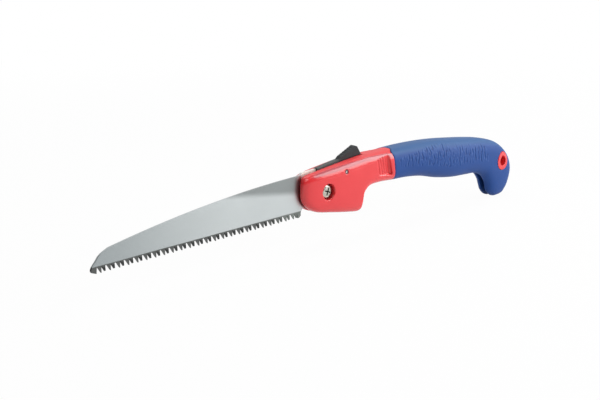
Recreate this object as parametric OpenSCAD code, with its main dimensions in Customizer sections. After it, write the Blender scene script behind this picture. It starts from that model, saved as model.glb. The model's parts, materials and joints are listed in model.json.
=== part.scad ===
// Folding pruning saw with a hooked two-material handle, a rocker lock and a pull-cut blade.
// Working frame: pivot at the origin, tip towards -X, teeth down (-Z), pivot axis along Y.

/* [Blade] */
// Pivot to the foremost point of the blade
blade_reach = 200.8; // [198:0.2:202]
// Thickness of the blade plate
blade_t = 1.4; // [1.0:0.1:1.8]
// Pivot down to the tooth tips
tooth_line = 15.4; // [14.8:0.2:15.6]
// Depth of a tooth
tooth_depth = 3.8; // [2.8:0.1:4]
// Length of the solid tip in front of the teeth
tip_block = 4.84; // [4.5:0.02:5.5]
// Number of teeth
tooth_count = 48; // [44:1:48]
// How far each tip leans out of the plate
tooth_set = 0.15; // [0:0.05:0.4]
// Pivot to the first tooth at the heel
heel_reach = 22.2; // [21.8:0.2:22.4]
// Height of the spine above the pivot at the heel
spine_z = 13.5; // [13:0.1:13.8]
// Bow of the spine between tip and heel
spine_bow = 3.2; // [1:0.2:4]
// Radius of the tang disc
tang_r = 11.5; // [11:0.1:11.8]

/* [Handle] */
// Thickness of the head at its nose
nose_t = 12.4; // [11:0.2:14]
// Thickness of the head at its thickest
head_t = 20.4; // [19:0.2:22]
// Thickness of the grip at its thickest
grip_t = 22.8; // [21:0.2:25]
// Thickness of the hooked butt
butt_t = 15.6; // [14.8:0.2:17]
// Width of the blade slot
slot_w = 4.0; // [3.8:0.1:4.6]
// Thickness of the rubber above and below the tongue
grip_skin = 3.0; // [2.4:0.1:3.4]
// Thickness of the tongue inside the grip
tongue_t = 11.2; // [10.4:0.2:11.6]
// How far the butt reaches past the folded blade
butt_past = 14.7; // [13.5:0.1:17]
// Depth of the hook below the pivot
hook_drop = 40; // [38.5:0.5:42]
// Diameter of the hang hole
hang_d = 7.6; // [6:0.2:8]
// Diameter of the red boss round the hang hole
boss_d = 14; // [12:0.2:15]
// Number of ribs in the thumb panel of each cheek
panel_ribs = 4; // [3:1:5]

/* [Pivot] */
// Outside diameter of the barrel that the blade turns on
barrel_d = 7; // [6:0.2:7.6]
// Diameter of the screw's shank
screw_d = 4; // [3.5:0.1:4.4]
// Diameter of the screw's pan head
screw_head_d = 9.8; // [9:0.2:10]
// Height of the screw's pan head
screw_head_h = 2.4; // [2:0.1:2.8]
// Thickness of the plastic between slot and recess
cheek_web = 2.4; // [2:0.1:2.8]
// Diameter of the recesses round screw and nut
recess_d = 11.2; // [10.8:0.2:11.6]
// Thickness of the washer under the screw's head
washer_t = 0.8; // [0.6:0.1:1]
// Thickness of the barrel nut's flange
flange_t = 1.8; // [1.4:0.1:2.2]
// Outside diameter of the shims beside the tang
shim_d = 16; // [14:0.5:17]

/* [Lock] */
// Diameter of the lock pin
pin_d = 3; // [2.6:0.1:3.2]
// Clearance of the lever in the slot, on each side
lever_side_gap = 0.2; // [0.15:0.05:0.3]
// Wall of the lever round its pin
hub_wall = 1.4; // [1.2:0.1:1.5]
// Height of the thumb pad's crest above the pivot
pad_z = 25.8; // [25:0.1:27]
// Outside diameter of the lock spring
spring_d = 2.3; // [2:0.1:2.4]
// Wire of the lock spring
spring_wire = 0.4; // [0.3:0.05:0.45]

/* [Motion] */
// Turn of the blade from open to folded
fold_angle = 175; // [174:0.5:175]

/* [Hidden] */
$fn = 64;
// Radial clearance of a turning fit, gap between moving faces, and how far a cut runs past a face
fit = 0.05;
air = 0.35;
past = 60;

// Frame: centred along the length, standing on the lowest point of the hook
butt_reach = blade_reach + butt_past;
mid_x = (butt_reach - blade_reach) / 2;

// Half thicknesses
nose_h = nose_t / 2;
head_h = head_t / 2;
grip_h = grip_t / 2;
butt_h = butt_t / 2;
slot_h = slot_w / 2;

// Lock pin, nose of the lever, and the web that carries the spring
pin_at = [17.3, 11.2];
hub_r = pin_d / 2 + hub_wall;
nose_x = [-4.4, 0.6];
web_top = 15.6;
web_front = pin_at[0] + hub_r + 2;
lever_end = 40.5;
spring_x = 32.5;
spring_top = web_top + 4.8;

// Hang hole
hang_at = [butt_reach - 15, -12];

// Recess floors beside the slot
recess_y = slot_h + cheek_web;

// Blade outline
root_z = tooth_depth - tooth_line;
toothed_end = tip_block - blade_reach;
tooth_pitch = (-toothed_end - heel_reach) / tooth_count;
tip_corner = [14.3 - blade_reach, 14.5 - tooth_line];
spine_heel = [-heel_reach, spine_z];
shoulder_x = nose_x[0] - air;
tang_rise = 1.7;

// A point turned about the pivot, seen from the near side
function turned(p, a) = [p[0] * cos(a) - p[1] * sin(a), p[0] * sin(a) + p[1] * cos(a)];
function mix(a, b, t) = a + (b - a) * t;
function unit(v) = v / norm(v);

// Folded tooth tips give the slope of the slot's ceiling
ceiling_gap = 1.2;
ceiling_near = turned([-heel_reach, -tooth_line], fold_angle) + [0, ceiling_gap];
ceiling_far = turned([toothed_end, -tooth_line], fold_angle) + [0, ceiling_gap];
ceiling_slope = (ceiling_far[1] - ceiling_near[1]) / (ceiling_far[0] - ceiling_near[0]);
function ceiling_at(x) = ceiling_near[1] + ceiling_slope * (x - ceiling_near[0]);
slot_end = hang_at[0] + hang_d / 2 + 0.9;
slot_corner = blade_reach - 2.3;

// A station of the grip, as a share of the way from its joint with the head to the end of the butt
joint_x = 66;
function along(t) = mix(joint_x, butt_reach, t);

// Handle sections from nose to hook: lower x, z, upper x, z, half thickness, squareness
hook_z = -hook_drop;
SECTIONS = [
    [-21.8, 2.6, -21.4, 8.4, nose_h - 2.8, 3],
    [-21, -2.6, -20.4, 12, nose_h - 1.2, 3.6],
    [-17, -8.4, -16.5, 13.6, mix(nose_h, head_h, 0.15), 4.2],
    [-8.5, -13.3, -8, 14.5, mix(nose_h, head_h, 0.5), 5],
    [6, -16.2, 6, 15.8, mix(nose_h, head_h, 0.8), 5],
    [22, -18.9, 21, 17.2, mix(nose_h, head_h, 0.97), 5],
    [32.3, -20, 31, 18, head_h, 5],
    [34.4, -17, 34.5, 18.2, head_h, 5],
    [35.6, -10, 38.5, 18.2, head_h, 5],
    [42.2, -4.4, 44.5, 18.1, head_h, 4.6],
    [54, -3.6, 53.5, 18, head_h, 3.9],
    [along(0.022), -4.7, along(0.002), 18, mix(head_h, grip_h, 0.2), 3.2],
    [along(0.134), -5.6, along(0.12), 18.2, mix(head_h, grip_h, 0.5), 2.9],
    [along(0.254), -8, along(0.241), 17.8, mix(head_h, grip_h, 0.9), 2.6],
    [along(0.375), -12.3, along(0.368), 16.5, grip_h, 2.6],
    [along(0.495), -15.2, along(0.502), 14.2, mix(grip_h, butt_h, 0.06), 2.6],
    [along(0.609), -16.4, along(0.635), 11.5, mix(grip_h, butt_h, 0.25), 2.6],
    [along(0.692), -17.2, along(0.749), 8.5, mix(grip_h, butt_h, 0.45), 2.7],
    [along(0.752), -20.4, along(0.85), 4.2, mix(grip_h, butt_h, 0.68), 2.9],
    [along(0.784), -25.8, along(0.926), -2.4, mix(grip_h, butt_h, 0.88), 3],
    [along(0.796), -31, along(0.981), -11, butt_h, 3],
    [along(0.808), hook_z + 4.8, along(1), -20.5, butt_h - 0.4, 3],
    [along(0.832), hook_z + 1.6, along(0.98), hook_z + 8.4, butt_h - 1.5, 2.8],
    [along(0.862), hook_z, along(0.95), hook_z + 1.2, butt_h - 3.6, 2.6],
];
split = 11;
tongue_first = 10.25;
tongue_last = 19.75;
hook_station = 16;
loft_step = 0.25;
tongue_step = 0.5;
ring_points = 28;

// Catmull-Rom blend of the sections
function pick(i) = SECTIONS[max(0, min(len(SECTIONS) - 1, i))];
function blend(i, t) =
    let (a = pick(i - 1), b = pick(i), c = pick(i + 1), d = pick(i + 2))
    (2 * b + (c - a) * t + (2 * a - 5 * b + 4 * c - d) * t * t + (3 * b - a - 3 * c + d) * t * t * t) / 2;
function section_at(u) = blend(floor(u), u - floor(u));
function sections(first, last, step) = [for (u = [first : step : last + step / 2]) section_at(u)];

// One ring of a section: a rounded rectangle as a superellipse in the plane of its two edge points
function bulge(c, n) = sign(c) * pow(abs(c), 2 / n);
function ring(s) =
    let (low = [s[0], 0, s[1]], high = [s[2], 0, s[3]])
    [for (k = [0 : ring_points - 1])
        let (a = k * 360 / ring_points)
        (low + high) / 2 + (high - low) / 2 * bulge(cos(a), s[5]) + [0, s[4] * bulge(sin(a), s[5]), 0]];

module loft(list) {
    rings = [for (s = list) ring(s)];
    m = ring_points;
    last = len(list) - 1;
    sides = [for (i = [0 : last - 1], k = [0 : m - 1])
        let (a = i * m + k, b = i * m + (k + 1) % m)
        each [[a, b, b + m], [a, b + m, a + m]]];
    front = [for (k = [m - 1 : -1 : 0]) k];
    back = [for (k = [0 : m - 1]) last * m + k];
    polyhedron([for (r = rings) each r], concat(sides, [front, back]));
}

// A flat outline in the XZ plane, given a thickness along Y
module slab(t) {
    rotate([90, 0, 0]) linear_extrude(height = t, center = true) children();
}

// A round bar along Y from y0 to y1
module bar(p, d, y0, y1) {
    translate([p[0], y1, p[1]]) rotate([90, 0, 0]) cylinder(d = d, h = y1 - y0);
}

// A turned shape about a Y axis: the outline's y runs along +Y
module turned_shape() {
    rotate([-90, 0, 0]) rotate_extrude() children();
}

module place() {
    translate([-mid_x, 0, hook_drop]) children();
}

// Tongue outline: the grip's edge lines drawn in by the rubber's thickness, twice as far inside the hook
module tongue_outline() {
    inset = [for (place = [tongue_first : tongue_step : tongue_last])
        let (s = section_at(place), low = [s[0], s[1]], high = [s[2], s[3]], u = unit(high - low) * grip_skin)
        [low + u * mix(1, 2, max(0, min(1, place - hook_station))), high - u]];
    polygon(concat([for (p = inset) p[0]], [for (k = [len(inset) - 1 : -1 : 0]) inset[k][1]]));
}

// Space for the blade: open at the nose, at the underside and through the hook
module blade_path() {
    polygon([[-past, -past], [-past, past], [web_front, past], [web_front, ceiling_at(web_front)],
             [slot_corner, ceiling_at(slot_corner)], [slot_end, -6.6], [slot_end - 2, -past]]);
}

// Space for the lever in the top of the head
module lever_path() {
    translate([nose_x[0] - 3, web_top]) square([lever_end + 5 - nose_x[0], past]);
}

// Ribbed thumb panel on both cheeks, leaning like the joint with the grip and sinking towards it
panel_size = [14.4, 14.8];
panel_at = [56.3, 9];
panel_lean = 0.26;
panel_dip = 0.07;
panel_ramp = 6;
panel_deep = 0.9;
groove_deep = 0.6;
groove_w = 1.3;
module leaning(middle, w, h) {
    polygon([for (c = [[-1, -1], [1, -1], [1, 1], [-1, 1]])
        let (p = [middle + c[0] * w / 2, c[1] * h / 2])
        p - [panel_lean * p[1], panel_dip * p[0]]]);
}

module thumb_panels() {
    groove_pitch = panel_size[0] / (panel_ribs + 1);
    for (side = [0, 1]) {
        mirror([0, side, 0]) translate([panel_at[0], head_h, panel_at[1]]) rotate([0, 0, -panel_ramp]) {
            slab(2 * panel_deep) leaning(0, panel_size[0], panel_size[1]);
            for (k = [0 : panel_ribs]) {
                slab(2 * (panel_deep + groove_deep))
                    leaning((k - panel_ribs / 2) * groove_pitch, groove_w, panel_size[1] - 1);
            }
        }
    }
}

module handle_core() {
    color("crimson") difference() {
        union() {
            loft(sections(0, split, loft_step));
            slab(tongue_t) tongue_outline();
            intersection() {
                loft(sections(split, len(SECTIONS) - 1, loft_step));
                bar(hang_at, boss_d, -past, past);
            }
        }
        slab(slot_w) blade_path();
        slab(slot_w) lever_path();
        thumb_panels();
        bar([0, 0], barrel_d + 2 * fit, -past, past);
        bar([0, 0], recess_d, recess_y, past);
        bar([0, 0], recess_d, -past, -recess_y);
        bar(pin_at, pin_d, -past, past);
        bar(hang_at, hang_d, -past, past);
    }
}

module grip_sleeve() {
    color("royalblue") difference() {
        loft(sections(split, len(SECTIONS) - 1, loft_step));
        slab(tongue_t) tongue_outline();
        slab(slot_w) blade_path();
        bar(hang_at, boss_d, -past, past);
    }
}

// Lock notch in the place where the lever's nose drops, in the working frame
module lock_notch() {
    polygon([[shoulder_x, 8.4], [nose_x[1] + air, 9.5], [nose_x[1] + air, past], [shoulder_x, past]]);
}

// Tip block and rounded tip, from the foremost point of the blade and the tooth tips
TIP = [[1.1, 1.2], [0.1, 2.4], [0, 3.3], [0.8, 5], [1.8, 6.1], [3.6, 8], [5.3, 10.2], [7.5, 12],
       [10.3, 13.2]];
module blade_outline() {
    steps = 24;
    spine = [for (k = [0 : steps])
        let (t = k / steps)
        mix(tip_corner, spine_heel, t) + [0, 4 * spine_bow * t * (1 - t)]];
    polygon(concat(
        [[toothed_end, root_z], [toothed_end - 0.3, -tooth_line]],
        [for (p = TIP) [p[0] - blade_reach, p[1] - tooth_line]],
        spine,
        [[2.4 - heel_reach, spine_z + 0.6], [3.8 - heel_reach, spine_z + tang_rise],
         [shoulder_x, spine_z + tang_rise + 0.5], [shoulder_x, 0], [-6, -9], [-14.2, -8.6],
         [3.2 - heel_reach, -13.6], [1 - heel_reach, -tooth_line], [-heel_reach, -tooth_line],
         [-heel_reach - 0.8, root_z]]));
}

// One tooth, ground to a point that leans out of the plate towards side
tooth_seat = 0.6;
tooth_lean = 0.15;
gullet = 0.22;
module tooth(x, side) {
    h = blade_t / 2 - 0.01;
    a = x - gullet;
    b = x - tooth_pitch + gullet;
    base = [[a, -h], [a, h], [b, h], [b, -h]];
    tip = [x - tooth_lean * tooth_pitch, side * (blade_t / 2 + tooth_set), -tooth_line];
    points = concat(
        [for (p = base) [p[0], p[1], root_z + tooth_seat]],
        [for (p = base) [p[0], p[1], root_z]],
        [tip]);
    polyhedron(points, [[3, 2, 1], [3, 1, 0],
        [0, 1, 5], [0, 5, 4], [1, 2, 6], [1, 6, 5], [2, 3, 7], [2, 7, 6], [3, 0, 4], [3, 4, 7],
        [4, 5, 8], [5, 6, 8], [6, 7, 8], [7, 4, 8]]);
}

module saw_blade() {
    color("silver") union() {
        slab(blade_t) difference() {
            union() {
                blade_outline();
                circle(r = tang_r);
            }
            lock_notch();
            rotate(-fold_angle) lock_notch();
            translate(turned(pin_at, -fold_angle)) circle(r = hub_r + air);
            circle(d = barrel_d + 2 * fit);
        }
        for (k = [0 : tooth_count - 1]) {
            tooth(-heel_reach - k * tooth_pitch, k % 2 == 0 ? 1 : -1);
        }
    }
}

module pivot_screw() {
    head_base = recess_y + washer_t;
    head_r = screw_head_d / 2;
    cross_w = 1.1;
    cross_l = 5.2;
    cross_deep = 1.5;
    color("gainsboro") difference() {
        mirror([0, 1, 0]) turned_shape() {
            translate([0, -slot_h]) square([screw_d / 2, head_base + slot_h]);
            intersection() {
                translate([0, head_base]) square([head_r, screw_head_h]);
                translate([0, head_base + screw_head_h - 5 * head_r]) circle(r = 5 * head_r, $fn = 240);
            }
        }
        for (turn = [0, 90]) {
            translate([0, -head_base - screw_head_h, 0]) rotate([0, turn + 20, 0])
                cube([cross_l, 2 * cross_deep, cross_w], center = true);
        }
    }
}

module pivot_barrel_nut() {
    bore_end = slot_h + 1;
    flange_r = recess_d / 2 - air;
    color("gainsboro") turned_shape() {
        translate([screw_d / 2 + fit, fit - recess_y])
            square([(barrel_d - screw_d) / 2 - fit, 2 * recess_y - fit]);
        translate([0, bore_end]) square([barrel_d / 2, recess_y - bore_end]);
        intersection() {
            translate([0, recess_y]) square([flange_r, flange_t]);
            translate([0, recess_y + flange_t - 4 * flange_r]) circle(r = 4 * flange_r, $fn = 180);
        }
    }
}

module pivot_washer() {
    color("silver") difference() {
        bar([0, 0], recess_d - 2 * air, -recess_y - washer_t, -recess_y);
        bar([0, 0], screw_d + 2 * fit, -past, past);
    }
}

module blade_shims() {
    color("ivory") for (side = [0, 1]) {
        mirror([0, side, 0]) difference() {
            bar([0, 0], shim_d, blade_t / 2 + fit, slot_h);
            bar([0, 0], barrel_d + 2 * fit, 0, past);
        }
    }
}

// Lever outline: nose, flush front arm, stepped ramp of the thumb pad, tail over the web
pad_ramp = [[19.5, 20.2], [32, pad_z - 0.7]];
module lever_outline() {
    polygon([[nose_x[0], 9], [nose_x[0], 16], [17.5, 18.6], pad_ramp[0], pad_ramp[1], [33.7, pad_z],
             [36.6, pad_z - 1], [lever_end, 19], [lever_end, 18.5], [web_front - 0.2, 17],
             [pin_at[0] + 1, 10.6], [pin_at[0] - 3.4, 13.2], [nose_x[1], 13.2], [nose_x[1], 9]]);
}

module lock_lever() {
    serrations = 5;
    ramp = pad_ramp[1] - pad_ramp[0];
    half = slot_h - lever_side_gap;
    color("dimgray") difference() {
        union() {
            slab(2 * half) lever_outline();
            bar(pin_at, 2 * hub_r, -half, half);
        }
        bar([0, 0], 2 * (tang_r + air), -past, past);
        bar(pin_at, pin_d + 2 * fit, -past, past);
        translate([spring_x, 0, web_top]) cylinder(d = spring_d + 2 * air, h = spring_top - web_top);
        for (k = [1 : serrations]) {
            at = pad_ramp[0] + ramp * k / (serrations + 0.5);
            translate([at[0], 0, at[1]]) rotate([0, -atan2(ramp[1], ramp[0]), 0]) rotate([0, 45, 0])
                cube([0.5, slot_w, 0.5], center = true);
        }
    }
}

module lock_pin() {
    half = head_h - 0.9;
    color("silver") bar(pin_at, pin_d, -half, half);
}

// Lock spring: one tube along a helix, with its least gap between turns printed
spring_turns = 4;
module lock_spring() {
    r = (spring_d - spring_wire) / 2;
    rise = spring_top - web_top - spring_wire - 2 * fit;
    per_turn = 12;
    sides = 6;
    count = spring_turns * per_turn;
    points = [for (k = [0 : count], s = [0 : sides - 1])
        let (a = k * 360 / per_turn, b = s * 360 / sides, q = r + spring_wire / 2 * cos(b))
        [q * cos(a), q * sin(a), spring_wire / 2 * sin(b) + rise * k / count]];
    tube = [for (k = [0 : count - 1], s = [0 : sides - 1])
        let (a = k * sides + s, b = k * sides + (s + 1) % sides)
        each [[a, b + sides, b], [a, a + sides, b + sides]]];
    caps = [[for (s = [0 : sides - 1]) s], [for (s = [sides - 1 : -1 : 0]) count * sides + s]];
    turn_gap = min([for (s = [0 : sides - 1], q = [0 : sides - 1])
        norm(points[per_turn * sides + s] - points[q])]);
    echo(spring_gap = turn_gap);
    color("silver") translate([spring_x, 0, web_top + spring_wire / 2 + fit])
        polyhedron(points, concat(tube, caps));
}

place() handle_core();
place() grip_sleeve();
place() saw_blade();
place() pivot_screw();
place() pivot_barrel_nut();
place() pivot_washer();
place() blade_shims();
place() lock_lever();
place() lock_pin();
place() lock_spring();
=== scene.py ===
import json
from math import cos, floor, pi, radians, sin, tau

import bmesh
import bpy
from mathutils import Matrix, Vector, noise


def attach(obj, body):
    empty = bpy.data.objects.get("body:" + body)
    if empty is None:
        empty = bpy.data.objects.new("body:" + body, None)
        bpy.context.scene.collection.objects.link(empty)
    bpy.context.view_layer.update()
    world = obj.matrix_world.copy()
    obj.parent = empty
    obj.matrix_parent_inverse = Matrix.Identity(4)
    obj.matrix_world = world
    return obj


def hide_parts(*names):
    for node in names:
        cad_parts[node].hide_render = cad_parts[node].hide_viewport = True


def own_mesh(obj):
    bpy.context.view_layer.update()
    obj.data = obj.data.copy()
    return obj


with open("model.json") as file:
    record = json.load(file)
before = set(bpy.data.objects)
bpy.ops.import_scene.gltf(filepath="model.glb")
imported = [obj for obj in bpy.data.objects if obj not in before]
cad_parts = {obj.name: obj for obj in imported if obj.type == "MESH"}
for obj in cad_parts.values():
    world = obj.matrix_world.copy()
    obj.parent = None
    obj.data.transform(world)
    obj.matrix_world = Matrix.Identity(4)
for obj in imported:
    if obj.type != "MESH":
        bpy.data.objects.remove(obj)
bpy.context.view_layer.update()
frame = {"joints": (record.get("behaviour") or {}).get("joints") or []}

# Every piece is modelled in millimetres about the pivot and then put in the shared frame
PIVOT = Vector(next(j["pos_m"] for j in frame["joints"] if j["name"] == "blade_fold"))
TO_ROW = Matrix.Translation(PIVOT) @ Matrix.Scale(0.001, 4)
scene = bpy.context.scene


# Camera at the photograph's viewing angle: its place in millimetres about the pivot, and its direction
CAMERA_AT = (-754.5, -689.4, 255.9)
CAMERA_WAY = (0.7064, 0.6625, -0.2492)
lens = bpy.data.cameras.new("camera")
lens.lens = 93
lens.sensor_width = 36
lens.clip_start = 0.05
camera = bpy.data.objects.new("camera", lens)
scene.collection.objects.link(camera)
camera_turn = Vector(CAMERA_WAY).to_track_quat("-Z", "Y").to_matrix().to_4x4()
camera.matrix_world = Matrix.Translation(TO_ROW @ Vector(CAMERA_AT)) @ camera_turn
scene.camera = camera
scene.view_settings.view_transform = "Standard"


# Sizes of the saw in millimetres, the same as in the part's source: half thicknesses first
NOSE, HEAD, GRIP, BUTT = 6.2, 10.2, 11.4, 7.8
SLOT, TONGUE, PLATE, ROCKER = 2.0, 5.6, 0.7, 1.8

# Radial clearance of a turning fit, gap between moving pieces, and how far a cut runs past a face
FIT, AIR, FAR = 0.05, 0.35, 60.0

# Blade
BLADE_REACH, HEEL, SPINE_Z, SPINE_BOW = 200.8, 22.2, 13.5, 3.2
TOOTH_LINE, TOOTH_DEPTH, TIP_BLOCK, TEETH = 15.4, 3.8, 4.84, 48
ROOT_Z = TOOTH_DEPTH - TOOTH_LINE
TOOTHED_END = TIP_BLOCK - BLADE_REACH
PITCH = (-TOOTHED_END - HEEL) / TEETH
FOLD = radians(175)

# Handle, with the station where head and grip meet
BUTT_REACH, HOOK_Z, JOINT_X, SPLIT = 215.5, -40.0, 66.0, 11
HANG_AT, HANG_R, BOSS_R = (BUTT_REACH - 15, -12.0), 3.8, 7.0

# Pivot
BARREL_R, SCREW_R, TANG_R = 3.5, 2.0, 11.5
RECESS_Y, RECESS_R, WASHER = 4.4, 5.6, 0.8

# Lock
PIN_AT, PIN_R, HUB_R = (17.3, 11.2), 1.5, 2.9
LEVER_NOSE, LEVER_END = (-4.4, 0.6), 40.5
SHOULDER_X = LEVER_NOSE[0] - AIR
WEB_FRONT, WEB_TOP, SPRING_X = 22.2, 15.6, 32.5


def mix(a, b, t):
    return a + (b - a) * t


def along(t):
    """A place on the grip, as a share of the way from its joint to the end of the butt."""
    return mix(JOINT_X, BUTT_REACH, t)


def smooth(t):
    """0 below 0, 1 above 1, smooth between them."""
    t = max(0.0, min(1.0, t))
    return t * t * (3 - 2 * t)


# Handle sections from nose to hook: lower x, z, upper x, z, half thickness, squareness
SECTIONS = [
    (-21.8, 2.6, -21.4, 8.4, NOSE - 2.8, 3),
    (-21, -2.6, -20.4, 12, NOSE - 1.2, 3.6),
    (-17, -8.4, -16.5, 13.6, mix(NOSE, HEAD, 0.15), 4.2),
    (-8.5, -13.3, -8, 14.5, mix(NOSE, HEAD, 0.5), 5),
    (6, -16.2, 6, 15.8, mix(NOSE, HEAD, 0.8), 5),
    (22, -18.9, 21, 17.2, mix(NOSE, HEAD, 0.97), 5),
    (32.3, -20, 31, 18, HEAD, 5),
    (34.4, -17, 34.5, 18.2, HEAD, 5),
    (35.6, -10, 38.5, 18.2, HEAD, 5),
    (42.2, -4.4, 44.5, 18.1, HEAD, 4.6),
    (54, -3.6, 53.5, 18, HEAD, 3.9),
    (along(0.022), -4.7, along(0.002), 18, mix(HEAD, GRIP, 0.2), 3.2),
    (along(0.134), -5.6, along(0.12), 18.2, mix(HEAD, GRIP, 0.5), 2.9),
    (along(0.254), -8, along(0.241), 17.8, mix(HEAD, GRIP, 0.9), 2.6),
    (along(0.375), -12.3, along(0.368), 16.5, GRIP, 2.6),
    (along(0.495), -15.2, along(0.502), 14.2, mix(GRIP, BUTT, 0.06), 2.6),
    (along(0.609), -16.4, along(0.635), 11.5, mix(GRIP, BUTT, 0.25), 2.6),
    (along(0.692), -17.2, along(0.749), 8.5, mix(GRIP, BUTT, 0.45), 2.7),
    (along(0.752), -20.4, along(0.85), 4.2, mix(GRIP, BUTT, 0.68), 2.9),
    (along(0.784), -25.8, along(0.926), -2.4, mix(GRIP, BUTT, 0.88), 3),
    (along(0.796), -31, along(0.981), -11, BUTT, 3),
    (along(0.808), HOOK_Z + 4.8, along(1), -20.5, BUTT - 0.4, 3),
    (along(0.832), HOOK_Z + 1.6, along(0.98), HOOK_Z + 8.4, BUTT - 1.5, 2.8),
    (along(0.862), HOOK_Z, along(0.95), HOOK_Z + 1.2, BUTT - 3.6, 2.6),
]


def section(u):
    """The handle's section at station u, blended between its neighbours."""
    last = len(SECTIONS) - 1
    i = min(int(u), last)
    t = u - i
    a, b, c, d = (SECTIONS[max(0, min(last, i + k))] for k in (-1, 0, 1, 2))
    return [(2 * q + (r - p) * t + (2 * p - 5 * q + 4 * r - s) * t * t + (3 * q - p - 3 * r + s) * t ** 3) / 2
            for p, q, r, s in zip(a, b, c, d)]


def bulge(c, n):
    """A superellipse's coordinate from a circle's: the higher n, the squarer."""
    return (1 if c > 0 else -1) * abs(c) ** (2 / n)


def skin_point(u, a, swell=0.0):
    """A point of the handle's skin: station u, angle a from the top edge round the far side."""
    x0, z0, x1, z1, half, square = section(u)
    low, high = Vector((x0, 0, z0)), Vector((x1, 0, z1))
    middle, reach = (low + high) / 2, (high - low) / 2
    return middle + reach * bulge(cos(a), square) + Vector((0, (half + swell) * bulge(sin(a), square), 0))


# Modelling steps
def loft(first, last, stations, around=112, swell=0.0):
    """The handle's body from one station to another, closed at both ends, swollen to both sides."""
    bm = bmesh.new()
    bmesh.ops.create_grid(bm, x_segments=around, y_segments=stations, size=0.5)
    for v in bm.verts:
        v.co = skin_point(mix(first, last, v.co.y + 0.5), tau * (v.co.x + 0.5), swell)
    bmesh.ops.remove_doubles(bm, verts=bm.verts, dist=1e-4)
    bmesh.ops.holes_fill(bm, edges=[e for e in bm.edges if e.is_boundary], sides=0)
    bmesh.ops.recalc_face_normals(bm, faces=bm.faces)
    return bm


def pull(bm, faces, way):
    """Faces drawn out along a direction, with walls behind them."""
    drawn = bmesh.ops.extrude_face_region(bm, geom=faces)
    moved = [v for v in drawn["geom"] if isinstance(v, bmesh.types.BMVert)]
    bmesh.ops.translate(bm, verts=moved, vec=way)
    bmesh.ops.recalc_face_normals(bm, faces=bm.faces)


def slab(outline, half):
    """A flat outline in the blade's plane, given a thickness to both sides."""
    bm = bmesh.new()
    face = bm.faces.new([bm.verts.new((x, -half, z)) for x, z in outline])
    pull(bm, [face], (0, 2 * half, 0))
    return bm


def bar(at, radius, y0, y1, segments=64):
    """A round bar along the pivot's direction."""
    bm = bmesh.new()
    turn = Matrix.Translation((at[0], (y0 + y1) / 2, at[1])) @ Matrix.Rotation(pi / 2, 4, "X")
    bmesh.ops.create_cone(bm, cap_ends=True, segments=segments, radius1=radius, radius2=radius, depth=y1 - y0,
                          matrix=turn)
    return bm


def turning(profile, at=(0, 0), closed=False, steps=72):
    """A turned piece about the pivot's direction, from a profile of radius and y."""
    bm = bmesh.new()
    line = [bm.verts.new((at[0] + r, y, at[1])) for r, y in profile]
    edges = [bm.edges.new(pair) for pair in zip(line, line[1:])]
    if closed:
        edges.append(bm.edges.new((line[-1], line[0])))
    bmesh.ops.spin(bm, geom=line + edges, cent=(at[0], 0, at[1]), axis=(0, 1, 0), angle=tau, steps=steps,
                   use_merge=True)
    bmesh.ops.remove_doubles(bm, verts=bm.verts, dist=1e-4)
    bmesh.ops.recalc_face_normals(bm, faces=bm.faces)
    return bm


def block(size, matrix):
    """A box of this size, put in place by the matrix."""
    bm = bmesh.new()
    bmesh.ops.create_cube(bm, size=1, matrix=matrix @ Matrix.Diagonal((*size, 1)))
    bmesh.ops.recalc_face_normals(bm, faces=bm.faces)
    return bm


def joined(*parts):
    """Several shells in one mesh."""
    whole = bmesh.new()
    for bm in parts:
        mesh = bpy.data.meshes.new("shell")
        bm.to_mesh(mesh)
        bm.free()
        whole.from_mesh(mesh)
        bpy.data.meshes.remove(mesh)
    return whole


def as_object(name, bm):
    """A mesh as an object in the scene."""
    mesh = bpy.data.meshes.new(name)
    bm.to_mesh(mesh)
    bm.free()
    obj = bpy.data.objects.new(name, mesh)
    scene.collection.objects.link(obj)
    return obj


def worked(body, cuts=(), adds=(), within=(), grain=0, rounds=0, bevel=0):
    """A body with parts added and cut away; grain remeshes it, so that its edges come out as from a mould."""
    obj = as_object("work", body)
    tools = []
    for operation, shapes in (("UNION", adds), ("INTERSECT", within), ("DIFFERENCE", cuts)):
        for shape in shapes:
            tools.append(as_object("tool", shape))
            step = obj.modifiers.new("step", "BOOLEAN")
            step.operation, step.solver, step.object = operation, "EXACT", tools[-1]
    if grain:
        mould = obj.modifiers.new("mould", "REMESH")
        mould.mode, mould.voxel_size = "VOXEL", grain
    if rounds:
        edges = obj.modifiers.new("edges", "SMOOTH")
        edges.factor, edges.iterations = 0.5, rounds
    if bevel:
        edges = obj.modifiers.new("edges", "BEVEL")
        edges.width, edges.segments, edges.limit_method, edges.angle_limit = bevel, 2, "ANGLE", radians(40)
    mesh = bpy.data.meshes.new_from_object(obj.evaluated_get(bpy.context.evaluated_depsgraph_get()))
    for o in [obj] + tools:
        old = o.data
        bpy.data.objects.remove(o)
        bpy.data.meshes.remove(old)
    bm = bmesh.new()
    bm.from_mesh(mesh)
    bpy.data.meshes.remove(mesh)
    return bm


def piece(name, bm, body, slot, finish, *stands_for, crease=None):
    """A finished piece in the shared frame, riding on its body."""
    bmesh.ops.transform(bm, matrix=TO_ROW, verts=bm.verts)
    obj = as_object(name, bm)
    obj.data.materials.append(finish)
    for face in obj.data.polygons:
        face.use_smooth = True
    if crease:
        obj.data.set_sharp_from_angle(angle=radians(crease))
    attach(obj, body)
    if stands_for:
        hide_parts(*stands_for)
    return obj


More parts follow.
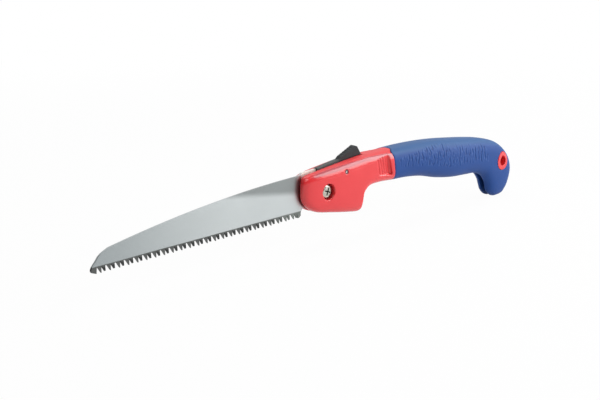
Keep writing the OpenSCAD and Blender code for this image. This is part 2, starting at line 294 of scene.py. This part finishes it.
# Shader maths
class Wire:
    """A node's output, with arithmetic that adds Math nodes."""

    def __init__(self, tree, socket):
        self.tree, self.socket = tree, socket

    def node(self, kind, settings=None, sockets=None, out=0):
        """A new node: its settings are made first, and then its sockets are set or linked."""
        n = self.tree.nodes.new("ShaderNode" + kind)
        for key, value in (settings or {}).items():
            setattr(n, key, value)
        for key, value in (sockets or {}).items():
            if isinstance(value, Wire):
                self.tree.links.new(value.socket, n.inputs[key])
            else:
                n.inputs[key].default_value = value
        return Wire(self.tree, n.outputs[out])

    def math(self, operation, a, b=0.0):
        return self.node("Math", {"operation": operation}, {0: a, 1: b})

    def __add__(self, other):
        return self.math("ADD", self, other)

    __radd__ = __add__

    def __sub__(self, other):
        return self.math("SUBTRACT", self, other)

    def __rsub__(self, other):
        return self.math("SUBTRACT", other, self)

    def __mul__(self, other):
        return self.math("MULTIPLY", self, other)

    __rmul__ = __mul__

    def step(self, low, high):
        """0 below low, 1 above high, smooth between them."""
        ends = {"Value": self, "From Min": low, "From Max": high}
        return self.node("MapRange", {"interpolation_type": "SMOOTHSTEP"}, ends)

    def grain(self, scale, detail=3.0, rough=0.5):
        """Noise over this place, with a scale per metre for each axis."""
        spread = self.node("VectorMath", {"operation": "MULTIPLY"}, {0: self, 1: scale})
        sockets = {"Vector": spread, "Scale": 1.0, "Detail": detail, "Roughness": rough}
        return self.node("TexNoise", {}, sockets)

    def attribute(self, name):
        """A value that the piece's points carry."""
        return self.node("Attribute", {"attribute_name": name}, {}, "Fac")

    def axis(self, name):
        return self.node("SeparateXYZ", {}, {0: self}, name)

    def between(self, a, b):
        """A colour that goes from a to b by this value."""
        ends = [(*end, 1) if isinstance(end, tuple) else end for end in (a, b)]
        return self.node("Mix", {"data_type": "RGBA"}, {0: self, 6: ends[0], 7: ends[1]}, 2)

    def bump(self, height, strength=0.3):
        """A normal from this height; the height in metres."""
        return self.node("Bump", {}, {"Height": self, "Distance": height, "Strength": strength})


def new_finish(name):
    """A material with its shader and the place on the piece."""
    material = bpy.data.materials.new(name)
    material.use_nodes = True
    tree = material.node_tree
    place = Wire(tree, tree.nodes.new("ShaderNodeTexCoord").outputs["Object"])
    return material, tree.nodes["Principled BSDF"], place


def dress(shader, **sockets):
    """The shader's sockets, by name, set to values or linked."""
    for key, value in sockets.items():
        socket = shader.inputs[key.replace("_", " ")]
        if isinstance(value, Wire):
            value.tree.links.new(value.socket, socket)
        else:
            socket.default_value = (*value, 1) if isinstance(value, tuple) else value


# Finishes: noise scales are per metre
TURNING_MARKS = (500, 2500, 500)


def red_plastic():
    """Glossy plastic, duller on top of the head, with a paler painted highlight along the upper edges of the
    cheeks.
    """
    material, shader, place = new_finish("red_plastic")
    cloud = place.grain((45, 45, 45), 2)
    fine = place.grain((1400, 1400, 1400), 2)
    top = place.attribute("top")
    painted_shoulder_highlight = place.attribute("painted_shoulder_highlight")
    skin = cloud.between((0.72, 0.028, 0.034), (0.81, 0.041, 0.048))
    # Paler, greyer red along the cheeks' upper edges: a painted highlight
    highlit = painted_shoulder_highlight.between(skin, (0.47, 0.074, 0.092))
    dress(shader, Base_Color=top.between(highlit, (0.68, 0.030, 0.036)),
          Roughness=0.13 + 0.05 * cloud + 0.04 * fine + 0.30 * top, Specular_IOR_Level=0.6,
          Normal=fine.bump(0.00004, 0.1))
    return material


def blue_rubber():
    """Soft rubber, with a painted sheen where it faces up, lips of its grain paler by wear and a painted
    highlight, and painted shade darkening the strokes.
    """
    material, shader, place = new_finish("blue_rubber")
    relief = place.attribute("relief")
    cloud = place.grain((60, 60, 60), 2)
    fine = place.grain((1100, 1100, 1100), 3)
    painted_top_sheen = place.attribute("painted_top_sheen")
    fresh = cloud.between((0.009, 0.053, 0.232), (0.014, 0.067, 0.268))
    # Paler, greyer blue where the grip faces up: a painted sheen
    skin = painted_top_sheen.between(fresh, (0.035, 0.102, 0.258))
    # Lips and flecks of the grain paler: partly wear, partly a painted highlight
    highlit = relief.step(0.05, 0.5).between(skin, (0.034, 0.100, 0.315))
    # Darker blue inside the strokes and cross cuts: painted shade
    groove = 1 - relief.step(-0.9, -0.1)
    dress(shader, Base_Color=groove.between(highlit, (0.007, 0.038, 0.175)), Roughness=0.46 + 0.14 * fine,
          Specular_IOR_Level=0.27, Normal=fine.bump(0.00007, 0.3))
    return material


def blade_steel():
    """Satin plate with a painted sheen that brightens it towards the heel, and a pale painted glint on top of
    the tang.

    A band of painted dark reflection lies under the spine; the hardened teeth are dark, and the faces of the
    teeth set away carry painted shade.
    """
    material, shader, place = new_finish("blade_steel")
    streak = place.grain((12, 700, 1500), 3, 0.6)
    cloud = place.grain((30, 200, 60), 2)
    x, z = place.axis("X"), place.axis("Z")
    root = TO_ROW @ Vector((0, 0, ROOT_Z + 0.75))
    heel, fore = TO_ROW @ Vector((-24, 0, 1.3)), TO_ROW @ Vector((-95, 0, 12))
    hard = 1 - (z + 0.0006 * cloud).step(root.z, root.z + 0.0006)
    slope = (fore.z - heel.z) / (fore.x - heel.x)
    tang = x.step(heel.x, heel.x + 0.003)
    # Pale cream, less metallic strip on top of the tang: a painted glint
    painted_tang_glint = x.step(heel.x + 0.004, heel.x + 0.006) * z.step(PIVOT.z + 0.008, PIVOT.z + 0.011)
    # Darker band under the spine, sloping up from the heel: a painted dark reflection
    painted_dark_band = (z - slope * (x - heel.x)).step(heel.z - 0.0020, heel.z + 0.0032) * (1 - tang)
    # Brighter towards the heel and darker towards the tip: a painted sheen
    painted_heel_sheen = x.step(-0.225, -0.08).between((0.35, 0.385, 0.395), (0.61, 0.65, 0.655))
    steel = (0.84 * painted_dark_band).between(painted_tang_glint.between(painted_heel_sheen, (0.92, 0.90, 0.82)), (0.22, 0.24, 0.24))
    plate = (0.25 * cloud).between(steel, (0.36, 0.39, 0.39))
    # Ground faces of the teeth set away, and the teeth's edges, darker than the near faces: painted shade
    ground = place.axis("Y").step(-0.00068, -0.0005)
    tooth_grey = ground.between((0.10, 0.105, 0.103), (0.03, 0.033, 0.033))
    hardened = (0.6 * x.step(-0.06, -0.032)).between(tooth_grey, (0.26, 0.29, 0.27))
    dress(shader, Base_Color=hard.between(plate, hardened), Metallic=1 - 0.35 * hard - 0.6 * painted_tang_glint,
          Roughness=0.27 + 0.16 * streak + 0.08 * hard, Normal=streak.bump(0.00002, 0.25))
    return material


def lever_plastic():
    """Dark plastic, with a paler painted highlight along the arm in front of the thumb pad."""
    material, shader, place = new_finish("lever_plastic")
    cloud = place.grain((120, 120, 120), 2)
    fine = place.grain((1800, 1800, 1800), 2)
    # Arm paler than the thumb pad: a painted highlight
    pad = place.axis("X").step(PIVOT.x + 0.013, PIVOT.x + 0.021)
    shade = pad.between((0.060, 0.068, 0.066), (0.011, 0.0145, 0.018))
    dress(shader, Base_Color=(0.3 * cloud).between(shade, (0.026, 0.03, 0.03)), Specular_IOR_Level=0.35,
          Roughness=0.42 + 0.14 * fine, Normal=fine.bump(0.00005, 0.4))
    return material


def plated_steel(name, dark, light, rough):
    """Plated metal with fine turning marks."""
    material, shader, place = new_finish(name)
    turned = place.grain(TURNING_MARKS, 3)
    dress(shader, Base_Color=turned.between(dark, light), Metallic=1.0, Roughness=rough + 0.1 * turned,
          Normal=turned.bump(0.00002, 0.2))
    return material


def screw_plating():
    """Bright plating with painted shade in the cross recess."""
    material, shader, place = new_finish("screw_plating")
    turned = place.grain(TURNING_MARKS, 3)
    x, z = place.axis("X") - PIVOT.x, place.axis("Z") - PIVOT.z
    inner = 1 - (x * x + z * z).step(0.0028 ** 2, 0.0031 ** 2)
    # Dark colour in the cross recess: painted shade
    recess = inner * place.axis("Y").step(-0.0074, -0.0069)
    dress(shader, Base_Color=recess.between((0.52, 0.50, 0.44), (0.08, 0.08, 0.08)), Metallic=1.0,
          Roughness=0.16 + 0.1 * turned + 0.2 * recess, Normal=turned.bump(0.00002, 0.2))
    return material


def pin_steel():
    """Pin whose ends show a brighter dimple inside a dark ring of painted shadow."""
    material, shader, place = new_finish("pin_steel")
    turned = place.grain(TURNING_MARKS, 3)
    x = place.axis("X") - PIVOT.x - PIN_AT[0] / 1000
    z = place.axis("Z") - PIVOT.z - PIN_AT[1] / 1000
    # Dark ring round the dimple at each end: painted shadow
    rim = (x * x + z * z).step(0.0007 ** 2, 0.0009 ** 2)
    dress(shader, Base_Color=rim.between((0.48, 0.44, 0.44), (0.055, 0.05, 0.05)), Metallic=1.0,
          Roughness=0.3 + 0.1 * turned, Normal=turned.bump(0.00002, 0.2))
    return material


def shim_nylon():
    """Natural nylon."""
    material, shader, place = new_finish("shim_nylon")
    cloud = place.grain((300, 300, 300), 2)
    dress(shader, Base_Color=cloud.between((0.66, 0.65, 0.57), (0.76, 0.75, 0.68)),
          Roughness=0.38 + 0.14 * cloud, Normal=cloud.bump(0.00002, 0.3))
    return material


RED, BLUE, STEEL, LEVER = red_plastic(), blue_rubber(), blade_steel(), lever_plastic()
NUT_PLATING = plated_steel("bright_plating", (0.62, 0.60, 0.56), (0.80, 0.79, 0.75), 0.14)
WASHER_PLATING = plated_steel("washer_plating", (0.40, 0.40, 0.39), (0.52, 0.52, 0.51), 0.28)
SPRING_WIRE = plated_steel("spring_wire", (0.34, 0.34, 0.33), (0.46, 0.46, 0.45), 0.25)
SCREW, PIN, NYLON = screw_plating(), pin_steel(), shim_nylon()


# Space for the folded blade, under a ceiling that clears its teeth
CEILING_GAP = 1.2


def turned_about(x, z, a):
    """A point turned about the pivot, seen from the near side."""
    return x * cos(a) - z * sin(a), x * sin(a) + z * cos(a)


near_x, near_z = turned_about(-HEEL, -TOOTH_LINE, FOLD)
far_x, far_z = turned_about(TOOTHED_END, -TOOTH_LINE, FOLD)


def ceiling(x):
    """Height of the slot's ceiling."""
    return near_z + CEILING_GAP + (far_z - near_z) / (far_x - near_x) * (x - near_x)


def blade_path():
    """Cutter of the blade's space: open at the nose, at the underside and through the hook."""
    end, corner = HANG_AT[0] + HANG_R + 0.9, BLADE_REACH - 2.3
    return slab([(-FAR, -FAR), (-FAR, FAR), (WEB_FRONT, FAR), (WEB_FRONT, ceiling(WEB_FRONT)),
                 (corner, ceiling(corner)), (end, -6.6), (end - 2, -FAR)], SLOT)


def lever_path():
    """Cutter of the lever's space in the top of the head."""
    front, back = LEVER_NOSE[0] - 3, LEVER_END + 2
    return slab([(front, WEB_TOP), (back, WEB_TOP), (back, FAR), (front, FAR)], SLOT)


def thumb_panel(side):
    """Cutters of one ribbed thumb panel, which leans like the joint and sinks towards the grip."""
    wide, tall, deep, ribs = 14.4, 14.8, 0.9, 4
    lean, dip, ramp = 0.26, 0.07, radians(-6)
    groove_wide, groove_deep = 1.3, 0.6
    mirror = Matrix.Diagonal((1, side, 1, 1))
    at = mirror @ Matrix.Translation((56.3, HEAD, 9)) @ Matrix.Rotation(ramp, 4, "Z")

    def leaning(middle, width, height, half):
        corners = [(middle + i * width / 2, k * height / 2) for i, k in ((-1, -1), (1, -1), (1, 1), (-1, 1))]
        bm = slab([(u - lean * v, v - dip * u) for u, v in corners], half)
        bmesh.ops.transform(bm, matrix=at, verts=bm.verts)
        bmesh.ops.recalc_face_normals(bm, faces=bm.faces)
        return bm

    middles = [(k - ribs / 2) * wide / (ribs + 1) for k in range(ribs + 1)]
    grooves = [leaning(middle, groove_wide, tall - 1, deep + groove_deep) for middle in middles]
    return [leaning(0, wide, tall, deep)] + grooves


# Joint of head and grip, which bows towards the grip on top
JOINT_BOW = 4.2


def joint_x(y, z):
    """Place of the joint along the handle."""
    (low_x, low_z), (high_x, high_z) = SECTIONS[SPLIT][:2], SECTIONS[SPLIT][2:4]
    flat, fade, start_z = 1.8, 6, 10
    bow = JOINT_BOW * (1 - smooth((abs(y) - flat) / fade)) * smooth((z - start_z) / fade)
    return mix(low_x, high_x, (z - low_z) / (high_z - low_z)) + bow


def beyond_joint(reach):
    """The space on one side of the joint, towards the butt or the nose by the sign of reach."""
    bm = bmesh.new()
    bmesh.ops.create_grid(bm, x_segments=60, y_segments=60, size=20)
    for v in bm.verts:
        y, z = v.co.x, v.co.y + 7
        v.co = joint_x(y, z), y, z
    pull(bm, bm.faces[:], (reach, 0, 0))
    return bm


# Crease that parts each cheek from the top of the head: its distance from the blade's plane along the head
CREASE = [(-22, 4.4), (-14, 5.7), (2, 6.2), (15, 7.2), (32, 8.1), (51, 7.7), (61, 7.5), (66, 8.3)]
CREASE_STEP = 0.45


def height_on(line, x):
    """Value at x of a line given by its corners."""
    for (x0, z0), (x1, z1) in zip(line, line[1:]):
        if x <= x1:
            return mix(z0, z1, max(0.0, (x - x0) / (x1 - x0)))
    return line[-1][1]


def head_shell():
    """The red head, whose top lies a step lower than the cheeks beside it."""
    cuts = [blade_path(), lever_path(), bar((0, 0), BARREL_R + FIT, -FAR, FAR),
            bar((0, 0), RECESS_R, RECESS_Y, FAR), bar((0, 0), RECESS_R, -FAR, -RECESS_Y),
            bar(PIN_AT, PIN_R, -FAR, FAR)]
    cuts += [beyond_joint(FAR)] + thumb_panel(1) + thumb_panel(-1)
    bm = worked(loft(0, SPLIT + 0.5, 146), cuts, grain=0.42, rounds=3)
    bm.normal_update()
    top, painted_shoulder_highlight = bm.verts.layers.float.new("top"), bm.verts.layers.float.new("painted_shoulder_highlight")
    # Inside the crease lies the dull top, and outside it a painted highlight along the upper edge of the
    # cheek
    for v in bm.verts:
        crease, out = height_on(CREASE, v.co.x), abs(v.co.y)
        upward = v.normal.z
        v[top] = smooth((crease - out) / 0.5) * smooth((upward - 0.1) / 0.2)
        # Painted highlight on the upward facing edge of the cheek, outside the crease
        edge = smooth((out - crease + 0.3) / 0.6) * smooth((upward - 0.2) / 0.2)
        v[painted_shoulder_highlight] = edge * smooth((v.co.z - 6) / 2) * smooth((v.co.x + 17) / 8)
        sunk = v[top] * smooth((out - SLOT) / (crease - SLOT)) * smooth((v.co.x + 21) / 12)
        v.co -= v.normal * CREASE_STEP * sunk
    piece("head_shell", bm, "handle", "core_plastic", RED, "handle_core")


def tongue():
    """The red core inside the grip: the grip's edges drawn in by the rubber, twice as far inside the hook."""
    first, last, hook, skin = 10.25, 19.75, 16, 3.0
    low, high = [], []
    for k in range(int((last - first) * 2) + 1):
        u = first + k / 2
        x0, z0, x1, z1, _, _ = section(u)
        a, b = Vector((x0, z0)), Vector((x1, z1))
        draw = (b - a).normalized() * skin
        low.append(tuple(a + draw * (1 + max(0, min(1, u - hook)))))
        high.append(tuple(b - draw))
    return slab(low + high[::-1], TONGUE)


def core_tongue():
    """The tongue with its blade slot and hang hole."""
    bm = worked(tongue(), [blade_path(), bar(HANG_AT, HANG_R, -FAR, FAR)])
    piece("core_tongue", bm, "handle", "core_plastic", RED, crease=30)


def hang_rings():
    """Red rims of the hang hole, a little proud of the grip on both sides."""
    bm = worked(bar(HANG_AT, BOSS_R, -FAR, FAR, 96), [bar(HANG_AT, HANG_R, -FAR, FAR, 96), blade_path()],
                within=[loft(SPLIT, len(SECTIONS) - 1, 200, swell=0.2)], grain=0.2, rounds=2)
    piece("hang_rings", bm, "handle", "core_plastic", RED)


# Grained field on both sides of the grip, between these edges
FIELD_TOP = [(70.5, 9.8), (77, 12.7), (96, 14.1), (107, 15.4), (117, 15.1), (127, 14.1), (143, 10.8),
             (161, 8.2), (173.5, 6.1), (178, 0.7), (181, -6)]
FIELD_LOW = [(70.5, 7.2), (79, 3.7), (93, 2), (108, -0.1), (127, -4.9), (136.5, -6.3), (150, -5.9),
             (164, -7.2), (181, -9.8)]
FIELD_START, FIELD_END = FIELD_TOP[0][0], FIELD_TOP[-1][0]
STROKE_GAP, ROW_GAP = 4.0, 5.2
GRAIN_DEPTH, LIP = 0.32, 0.45


def strokes(x, z, side):
    """Depth of the swaying upright strokes, and height of the lips beside them, from 0 to 1."""
    wide, lip_off, lip_wide = 0.9, 1.2, 0.7
    groove, lip = 0.0, 0.0
    for k in range(int(x / STROKE_GAP) - 1, int(x / STROKE_GAP) + 2):
        sway = noise.noise(Vector((k * 3.7, side * 5.3, z / 6)))
        off = abs(x - (k + 0.5 + 0.55 * sway) * STROKE_GAP)
        held = smooth(0.55 + 1.7 * noise.noise(Vector((k * 7.9, side * 2.1, z / 4.6))))
        groove = max(groove, held * (1 - smooth(off / wide)))
        lip = max(lip, held * (1 - smooth(abs(off - lip_off) / lip_wide)))
    return groove, lip


def cross_cut(x, z, side):
    """Depth of the short cross cuts, bowed like a U, in rows that shift from column to column."""
    wide, bow, run_out = 0.8, 1.2, 0.15
    column = floor(x / STROKE_GAP)
    across = x / STROKE_GAP - column
    shift = noise.cell(Vector((column + 0.5, 0.5, side * 9 + 0.5)))
    row = floor(z / ROW_GAP + shift)
    if noise.cell(Vector((column + 0.5, row + 0.5, side * 4 + 0.5))) <= 0.3:
        return 0.0
    off = abs(z - (row + 0.4 - shift) * ROW_GAP - bow * (2 * across - 1) ** 2)
    return 0.7 * (1 - smooth(off / wide)) * smooth(min(across, 1 - across) / run_out)


def bark(x, z, side):
    """Height of the grain on the grip's side: -1 in its strokes and cross cuts, up to LIP beside them."""
    inside = min(height_on(FIELD_TOP, x) - z, z - height_on(FIELD_LOW, x), x - FIELD_START, FIELD_END - x)
    if inside < 0:
        return 0.0
    groove, lip = strokes(x, z, side)
    groove = max(groove, cross_cut(x, z, side))
    fleck = smooth((noise.noise(Vector((x / 1.5, z / 1.9, side * 9))) - 0.15) / 0.25)
    lip = max(lip, 0.9 * fleck)
    return smooth(inside / 1.2) * (LIP * lip * (1 - groove) - groove)


def grip_shell():
    """The rubber grip, grained on both sides and rounded at the end of the hook."""
    rounded, passes = 6, 16
    cuts = [tongue(), blade_path(), bar(HANG_AT, BOSS_R, -FAR, FAR), beyond_joint(-FAR)]
    bm = worked(loft(SPLIT - 0.3, len(SECTIONS) - 1, 206), cuts, grain=0.53, rounds=3)
    hook_end = [v for v in bm.verts if v.co.z < HOOK_Z + rounded]
    for _ in range(passes):
        bmesh.ops.smooth_vert(bm, verts=hook_end, factor=0.5, use_axis_x=True, use_axis_y=True,
                              use_axis_z=True)
    bm.normal_update()
    relief, painted_top_sheen = bm.verts.layers.float.new("relief"), bm.verts.layers.float.new("painted_top_sheen")
    for v in bm.verts:
        # How far each point faces up, for the painted sheen on top of the grip
        v[painted_top_sheen] = smooth((v.normal.z - 0.25) / 0.5)
        if abs(v.co.y) > TONGUE + 0.3:
            v[relief] = bark(v.co.x, v.co.z, 1 if v.co.y > 0 else -1)
            v.co += v.normal * GRAIN_DEPTH * v[relief]
    piece("grip_shell", bm, "handle", "grip_rubber", BLUE, "grip_sleeve")


# Blade: plate with two lock notches, and teeth ground on alternate sides
TIP = [(1.1, 1.2), (0.5, 2.2), (0.6, 3.1), (1.4, 4.7), (2.5, 5.9), (4.4, 7.8), (6.2, 9.9), (8.4, 11.6),
       (11.1, 12.8)]


def blade_outline():
    """The blade from the front tooth round its tip, along the bowed spine, and down the tang to the heel."""
    tip, heel, steps = Vector((14.3 - BLADE_REACH, 14.1 - TOOTH_LINE)), Vector((-HEEL, SPINE_Z)), 24
    front = [(TOOTHED_END, ROOT_Z), (TOOTHED_END - 0.3, -TOOTH_LINE)]
    front += [(x - BLADE_REACH, z - TOOTH_LINE) for x, z in TIP]
    spine = []
    for k in range(steps + 1):
        t = k / steps
        spine.append(tuple(tip.lerp(heel, t) + Vector((0, 4 * SPINE_BOW * t * (1 - t)))))
    tang = [(2.4 - HEEL, 14.1), (3.8 - HEEL, 15.2), (SHOULDER_X, 15.7), (SHOULDER_X, 0), (-6, -9),
            (-12.9, -8.75)]
    block_end = [(4 - HEEL, -12.95), (1.1 - HEEL, -TOOTH_LINE), (-HEEL, -TOOTH_LINE), (-HEEL - 0.8, ROOT_Z)]
    return front + spine + tang + block_end


def lock_notch(turn):
    """Cutter of the notch that the lever's nose drops into, turned about the pivot."""
    front, back = SHOULDER_X, LEVER_NOSE[1] + AIR
    outline = [(front, 8.4), (back, 9.5), (back, FAR), (front, FAR)]
    return slab([turned_about(x, z, turn) for x, z in outline], SLOT)


def tooth(x, side):
    """One tooth: flat on the side it leans to, ground to knife edges on the other."""
    gullet, seat, tip_flat, lean = 0.2, 0.6, 0.6, 0.05
    edge, edge_rise, narrowing = 0.2, 0.35, 0.35
    front, back, tip = x - gullet, x - PITCH + gullet, x - gullet / 2
    outline = [(front, ROOT_Z + seat), (front, ROOT_Z), (tip, -TOOTH_LINE), (tip - tip_flat, -TOOTH_LINE),
               (back, ROOT_Z), (back, ROOT_Z + seat)]
    bm = slab(outline, PLATE - 0.01)
    for v in bm.verts:
        outer = v.co.y * side > 0
        if v.co.z < ROOT_Z - 1:
            v.co.y = side * (PLATE + lean) if outer else -side * edge
            v.co.z += 0 if outer else edge_rise
        elif v.co.z < ROOT_Z + 0.1 and not outer:
            v.co.x = mix(v.co.x, (front + back) / 2, narrowing)
    bmesh.ops.recalc_face_normals(bm, faces=bm.faces)
    return bm


def blade():
    """The plate and its teeth as one piece."""
    hub = turned_about(*PIN_AT, -FOLD)
    cuts = [lock_notch(0), lock_notch(-FOLD), bar(hub, HUB_R + AIR, -SLOT, SLOT),
            bar((0, 0), BARREL_R + FIT, -SLOT, SLOT)]
    plate = worked(slab(blade_outline(), PLATE), cuts, [bar((0, 0), TANG_R, -PLATE, PLATE, 96)], bevel=0.12)
    teeth = [tooth(-HEEL - k * PITCH, 1 if k % 2 == 0 else -1) for k in range(TEETH)]
    piece("blade", joined(plate, *teeth), "blade", "blade_steel", STEEL, "saw_blade", crease=25)


# Pivot
def screw():
    """Pan head with a cross recess, sunk in the near cheek."""
    base, top, shank_end = -RECESS_Y - WASHER, -RECESS_Y - 3.2, 2
    head = [(0, top), (2.6, top + 0.05), (3.8, top + 0.22), (4.5, top + 0.6), (4.8, top + 1.1),
            (4.9, top + 1.7), (4.9, base)]
    shank = [(SCREW_R, base), (SCREW_R, shank_end), (0, shank_end)]
    cross = [block((5.4, 3.2, 1.0), Matrix.Translation((0, top, 0)) @ Matrix.Rotation(radians(turn), 4, "Y"))
             for turn in (20, 110)]
    bm = worked(turning(head + shank), cross, grain=0.12, rounds=2)
    piece("screw", bm, "handle", "fastener_steel", SCREW, "pivot_screw")


def barrel_nut():
    """Sleeve that the blade turns on, with a domed flange in the far cheek."""
    y, bore, bore_end = RECESS_Y, SCREW_R + FIT, 3
    sleeve = [(bore, FIT - y), (BARREL_R, FIT - y), (BARREL_R, y)]
    flange = [(5.1, y), (5.25, y + 0.15), (5.25, y + 1.1), (5, y + 1.45), (3.8, y + 1.7), (1.5, y + 1.8),
              (0, y + 1.8)]
    bm = turning(sleeve + flange + [(0, bore_end), (bore, bore_end)])
    piece("barrel_nut", bm, "handle", "fastener_steel", NUT_PLATING, "pivot_barrel_nut", crease=40)


def washer():
    """Flat washer under the screw's head."""
    y, bore, outside, chamfer = -RECESS_Y, SCREW_R + FIT, RECESS_R - AIR, 0.1
    profile = [(bore, y), (outside - chamfer, y), (outside, y - chamfer), (outside, y - WASHER + chamfer),
               (outside - chamfer, y - WASHER), (bore + chamfer, y - WASHER), (bore, y - WASHER + chamfer)]
    ring = turning(profile, closed=True)
    piece("washer", ring, "handle", "washer_steel", WASHER_PLATING, "pivot_washer", crease=40)


def shims():
    """Two rings that centre the tang in the slot."""
    bore, outside, inner, chamfer = BARREL_R + FIT, 8, PLATE + FIT, 0.1
    profile = [(bore, inner), (outside - chamfer, inner), (outside, inner + chamfer),
               (outside, SLOT - chamfer), (outside - chamfer, SLOT), (bore, SLOT)]
    rings = [turning([(r, side * y) for r, y in profile], closed=True) for side in (-1, 1)]
    piece("shims", joined(*rings), "handle", "shim_nylon", NYLON, "blade_shims", crease=40)


# Lock
def lever():
    """Rocker with a nose at the front, a stepped thumb pad and a pocket for the spring."""
    nose_x, nose_end = LEVER_NOSE
    ramp_low, ramp_high, steps = Vector((19.5, 20.2)), Vector((32, 25.1)), 5
    nose = [(nose_x, 9), (nose_x, 16), (17.5, 18.6)]
    pad = [tuple(ramp_low), tuple(ramp_high), (33.7, 25.8), (36.6, 24.8), (LEVER_END, 19), (LEVER_END, 18.5)]
    underside = [(WEB_FRONT - 0.2, 17), (18.3, 10.6), (13.9, 13.2), (nose_end, 13.2), (nose_end, 9)]
    slope = (ramp_high - ramp_low).to_3d()
    cuts = [bar((0, 0), TANG_R + AIR, -FAR, FAR, 96), bar(PIN_AT, PIN_R + FIT, -FAR, FAR)]
    pocket = bmesh.new()
    bmesh.ops.create_cone(pocket, cap_ends=True, segments=32, radius1=1.5, radius2=1.5, depth=4.8,
                          matrix=Matrix.Translation((SPRING_X, 0, 18)) @ Matrix.Diagonal((1.65, 1, 1, 1)))
    cuts.append(pocket)
    turn = Matrix.Rotation(-slope.angle(Vector((1, 0, 0))), 4, "Y") @ Matrix.Rotation(radians(45), 4, "Y")
    for k in range(1, steps + 1):
        at = ramp_low.lerp(ramp_high, k / (steps + 0.5))
        cuts.append(block((0.5, 5, 0.5), Matrix.Translation((at.x, 0, at.y)) @ turn))
    hub = bar(PIN_AT, HUB_R, -ROCKER, ROCKER)
    bm = worked(slab(nose + pad + underside, ROCKER), cuts, [hub], grain=0.18, rounds=2)
    piece("lever", bm, "lever", "lever_plastic", LEVER, "lock_lever")


def pin():
    """Cross pin with a dimple in each end."""
    half = HEAD - 0.9
    end = [(0, half - 0.25), (0.7, half - 0.2), (0.95, half), (1.25, half), (PIN_R, half - 0.3)]
    profile = [(r, -y) for r, y in end] + end[::-1]
    piece("pin", turning(profile, PIN_AT), "handle", "pin_steel", PIN, "lock_pin", crease=30)


def spring():
    """The lock spring, wound from its web upwards."""
    coil_r, wire_r, rise, turns, per_turn = 0.95, 0.2, 4.3, 4, 24
    bm = bmesh.new()
    start = Matrix.Translation((SPRING_X + coil_r, 0, WEB_TOP + wire_r + FIT))
    bmesh.ops.create_circle(bm, segments=10, radius=wire_r, matrix=start @ Matrix.Rotation(pi / 2, 4, "X"))
    steps = turns * per_turn
    bmesh.ops.spin(bm, geom=bm.verts[:] + bm.edges[:], cent=(SPRING_X, 0, 0), axis=(0, 0, 1),
                   dvec=(0, 0, rise / steps), angle=tau * turns, steps=steps)
    bmesh.ops.holes_fill(bm, edges=[e for e in bm.edges if e.is_boundary], sides=0)
    bmesh.ops.recalc_face_normals(bm, faces=bm.faces)
    obj = piece("spring", bm, "handle", "spring_steel", SPRING_WIRE, "lock_spring", crease=40)
    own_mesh(obj)


head_shell()
core_tongue()
hang_rings()
grip_shell()
blade()
screw()
barrel_nut()
washer()
shims()
lever()
pin()
spring()


# Stage: pale floor that keeps a soft shadow, white background, soft lamps at the right, overhead and in front
def pale_floor():
    """Nearly white for the camera; in reflections white mostly near the saw, and little at the front left."""
    bm = bmesh.new()
    bmesh.ops.create_grid(bm, x_segments=1, y_segments=1, size=4)
    sheet = as_object("floor", bm)
    material, shader, place = new_finish("pale_floor")
    dress(shader, Base_Color=(0.68, 0.68, 0.68), Roughness=0.9)
    tree = material.node_tree
    rays = ("Is Camera Ray", "Is Glossy Ray", "Is Transmission Ray")
    camera_ray, glossy_ray, clear_ray = (place.node("LightPath", {}, {}, ray) for ray in rays)
    x, y = place.axis("X"), place.axis("Y")
    off = x * x + y * y
    front_left = (0 - y).step(0.12, 0.2) * (1 - x.step(0.02, 0.15))
    nearby = (1 - 0.85 * off.step(0.3 ** 2, 0.7 ** 2)) * (1 - 0.9 * front_left)
    seen = place.math("MINIMUM", camera_ray + glossy_ray * nearby + clear_ray, 1.0)
    share = 0.96 + 0.04 * off.step(0.12, 0.7)
    white = place.node("Emission", {}, {"Color": (1, 1, 1, 1), "Strength": 1.0})
    both = place.node("MixShader", {}, {0: share * seen, 1: Wire(tree, shader.outputs[0]), 2: white})
    tree.links.new(both.socket, tree.nodes["Material Output"].inputs["Surface"])
    sheet.data.materials.append(material)


def surroundings():
    """White for the camera; light and reflections see a dim room, a pale backdrop and a glow upper right."""
    world = bpy.data.worlds.new("surroundings")
    scene.world = world
    world.use_nodes = True
    tree = world.node_tree
    back = tree.nodes["Background"]
    way = Wire(tree, tree.nodes.new("ShaderNodeTexCoord").outputs["Generated"])
    backdrop = way.axis("Y").step(-0.3, 0.4) * (1 - way.axis("Z").step(0.55, 0.9))
    right = way.axis("X").step(-0.8, 0.2)
    glow = way.axis("X").step(0.25, 0.7) * way.axis("Z").step(0.35, 0.65)
    room = 0.03 + 0.07 * right + backdrop * (0.40 + 0.40 * right) + 0.45 * glow
    seen = way.node("LightPath", {}, {}, "Is Camera Ray")
    tree.links.new((room + seen * (1 - room)).socket, back.inputs["Strength"])
    back.inputs["Color"].default_value = (1, 1, 1, 1)


def lamp(name, at, aim, size, power):
    """A soft square lamp, in metres and watts."""
    data = bpy.data.lights.new(name, "AREA")
    data.shape, data.size, data.energy = "SQUARE", size, power
    obj = bpy.data.objects.new(name, data)
    scene.collection.objects.link(obj)
    obj.location = at
    obj.rotation_euler = (Vector(aim) - Vector(at)).to_track_quat("-Z", "Y").to_euler()


pale_floor()
surroundings()
lamp("key_lamp", (0.95, -0.70, 0.55), (0.02, 0, 0.04), 1.0, 15)
lamp("top_lamp", (0.15, 0.10, 1.30), (0.05, 0, 0.04), 0.7, 8)
lamp("fill_lamp", (-0.20, -1.10, 0.80), (0.02, 0, 0.04), 0.7, 5.5)
